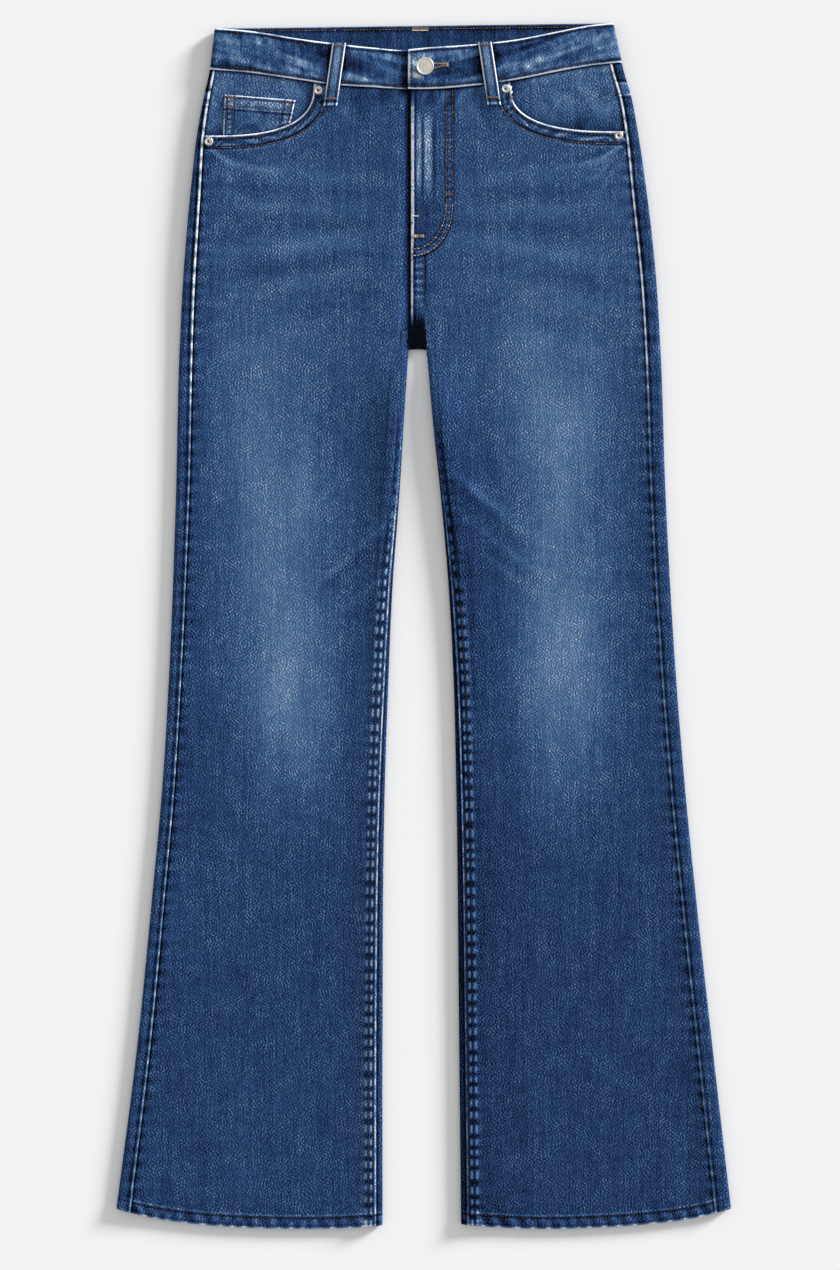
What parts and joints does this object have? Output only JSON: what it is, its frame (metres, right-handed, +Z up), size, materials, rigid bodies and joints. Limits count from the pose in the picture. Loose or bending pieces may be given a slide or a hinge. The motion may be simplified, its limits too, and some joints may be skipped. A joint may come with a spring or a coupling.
{
  "type": "jeans",
  "caption": "Bootcut denim trousers, fastened at the waist and laid flat on their back with flared hems.",
  "frame": {"origin": "under the middle of the garment, on the surface it lies on", "axes": "+Y from the hems to the waist, +X from the wearer's right leg to the left, +Z up out of the fronts"},
  "size_m": [0.5727, 1.1196, 0.0159],
  "materials": {
    "denim": "washed mid-blue twill",
    "denim_dark": "less faded mid-blue twill",
    "thread": "matte topstitching thread",
    "button_metal": "satin",
    "rivet_metal": "satin"
  },
  "bodies": {
    "root": {"front_panel_right": "denim", "front_panel_left": "denim", "back_panel_right": "denim_dark", "back_panel_left": "denim_dark", "yoke_right": "denim_dark", "yoke_left": "denim_dark", "pocket_facing_right": "denim", "pocket_facing_left": "denim", "coin_pocket": "denim", "waistband": "denim", "belt_loop_front_right": "denim", "belt_loop_front_left": "denim", "belt_loop_back_right": "denim", "belt_loop_back_centre": "denim", "belt_loop_back_left": "denim", "back_pocket_right": "denim", "back_pocket_left": "denim", "button": "button_metal", "rivet_right_waist": "rivet_metal", "rivet_right_side": "rivet_metal", "rivet_left_waist": "rivet_metal", "rivet_left_side": "rivet_metal"}
  },
  "joints": []
}
